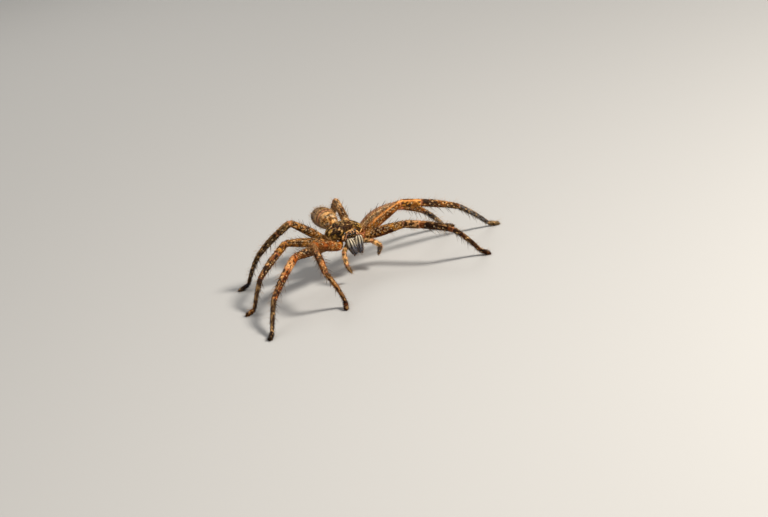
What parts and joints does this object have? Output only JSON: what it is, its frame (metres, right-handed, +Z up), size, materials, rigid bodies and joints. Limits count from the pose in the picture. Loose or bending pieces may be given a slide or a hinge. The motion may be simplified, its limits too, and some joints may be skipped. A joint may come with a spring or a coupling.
{
  "type": "huntsman spider",
  "caption": "Life-size still huntsman spider standing low on long, spiny, sideways-spread legs, with a domed carapace, egg-shaped abdomen and stout jaws.",
  "frame": {"origin": "on the floor, under the middle of the box round the whole spider", "axes": "+Z up from the floor, -Y the way the head faces, +X towards the spider's own left"},
  "size_m": [0.0764, 0.0618, 0.018],
  "materials": {
    "carapace": "satin, mottled dark brown cuticle with a short coat",
    "abdomen": "soft, velvety mottled tan",
    "leg": "satin, mottled ochre and red-brown with a short coat",
    "foot": "soft, hairy grey-brown",
    "chelicera": "satin, near black with pale stripes of hair",
    "fang": "hard and glossy",
    "eye": "wet gloss",
    "palp": "satin, pale tan",
    "underside": "satin, plain brown"
  },
  "bodies": {
    "root": {"carapace": "carapace", "abdomen": "abdomen", "pedicel": "underside", "sternum": "underside", "labium": "underside", "spinnerets": "abdomen", "chelicera_right": "chelicera", "chelicera_left": "chelicera", "fang_right": "fang", "fang_left": "fang", "eye_front_inner_right": "eye", "eye_front_inner_left": "eye", "eye_front_outer_right": "eye", "eye_front_outer_left": "eye", "eye_back_inner_right": "eye", "eye_back_inner_left": "eye", "eye_back_outer_right": "eye", "eye_back_outer_left": "eye", "leg1_right_femur": "leg", "leg1_right_tibia": "leg", "leg1_right_metatarsus": "foot", "leg1_right_tarsus": "foot", "leg2_right_femur": "leg", "leg2_right_tibia": "leg", "leg2_right_metatarsus": "foot", "leg2_right_tarsus": "foot", "leg3_right_femur": "leg", "leg3_right_tibia": "leg", "leg3_right_metatarsus": "foot", "leg3_right_tarsus": "foot", "leg4_right_femur": "leg", "leg4_right_tibia": "leg", "leg4_right_metatarsus": "foot", "leg4_right_tarsus": "foot", "leg1_left_femur": "leg", "leg1_left_tibia": "leg", "leg1_left_metatarsus": "foot", "leg1_left_tarsus": "foot", "leg2_left_femur": "leg", "leg2_left_tibia": "leg", "leg2_left_metatarsus": "foot", "leg2_left_tarsus": "foot", "leg3_left_femur": "leg", "leg3_left_tibia": "leg", "leg3_left_metatarsus": "foot", "leg3_left_tarsus": "foot", "leg4_left_femur": "leg", "leg4_left_tibia": "leg", "leg4_left_metatarsus": "foot", "leg4_left_tarsus": "foot", "palp_right_femur": "palp", "palp_right_tibia": "palp", "palp_right_tarsus": "palp", "palp_left_femur": "palp", "palp_left_tibia": "palp", "palp_left_tarsus": "palp"}
  },
  "joints": []
}
